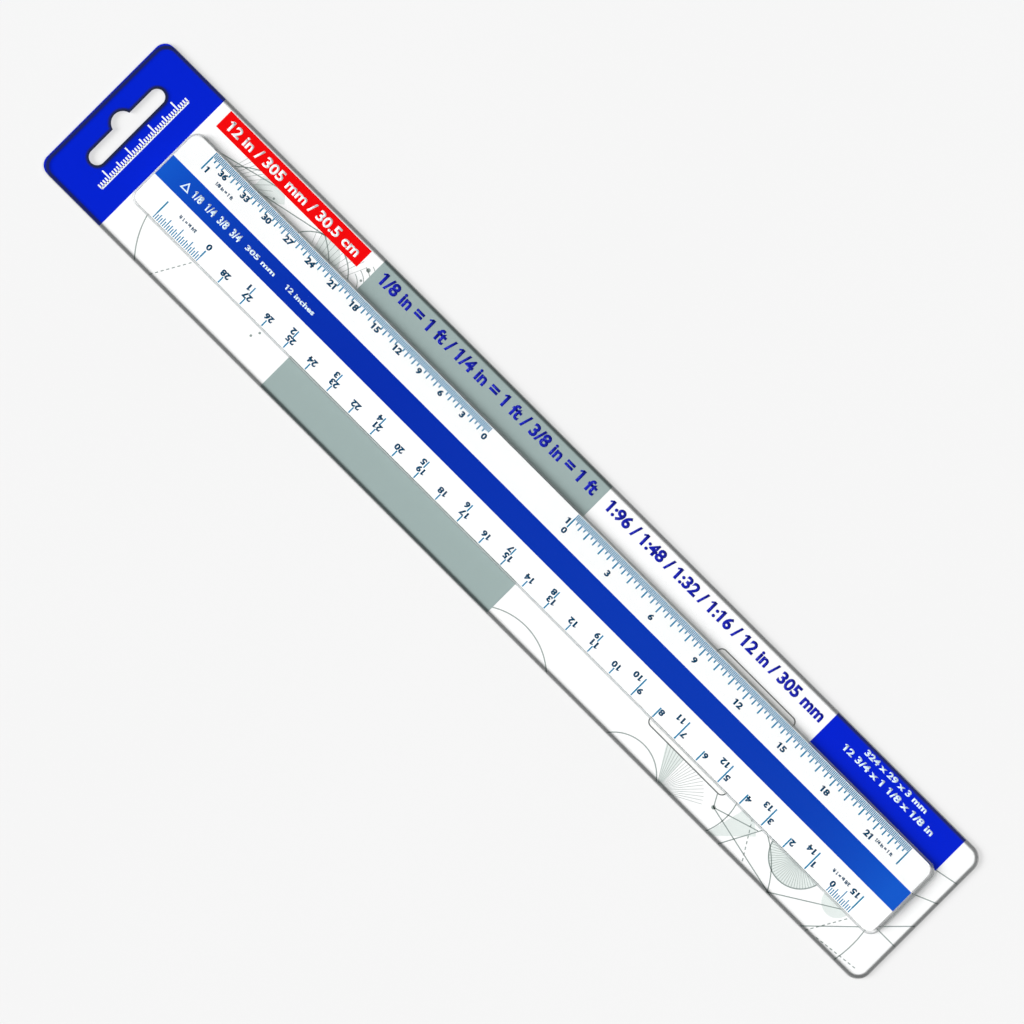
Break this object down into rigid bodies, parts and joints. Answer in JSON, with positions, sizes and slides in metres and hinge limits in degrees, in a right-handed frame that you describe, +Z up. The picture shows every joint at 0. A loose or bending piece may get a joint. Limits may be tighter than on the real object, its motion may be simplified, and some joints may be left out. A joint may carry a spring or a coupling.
{
  "type": "flat scale ruler in slide blister pack",
  "caption": "Flat drawing scale with four bevelled edges, lying on a printed hanging card under the long hood of a clear folded-edge slide sleeve.",
  "frame": {"origin": "middle of the pack's footprint, on the table it lies on", "axes": "+X along the pack from the header to the closed end, +Y across it, +Z up out of the printed face"},
  "size_m": [0.36, 0.0564, 0.0047],
  "materials": {
    "printed_card": "satin printed board, white with a blue header, a grey band, a red bar and a blue corner panel",
    "label_paper": "plain white paper",
    "clear_sheet": "clear glossy formed sheet",
    "white_plastic": "white, satin, with printed graduations",
    "blue_plastic": "deep blue, satin"
  },
  "bodies": {
    "sleeve": {"clear_sleeve": "clear_sheet"},
    "card": {"backing_card": "printed_card", "square_label": "label_paper"},
    "ruler": {"ruler_body": "white_plastic", "blue_stripe_front": "blue_plastic", "blue_stripe_back": "blue_plastic"}
  },
  "joints": [
    {"name": "card_draw", "type": "slide", "parent": "sleeve", "child": "card", "axis": [-1, 0, 0], "range_m": [0, 0.36]},
    {"name": "ruler_play", "type": "slide", "parent": "sleeve", "child": "ruler", "axis": [1, 0, 0], "range_m": [-0.0001, 0.0006]}
  ]
}
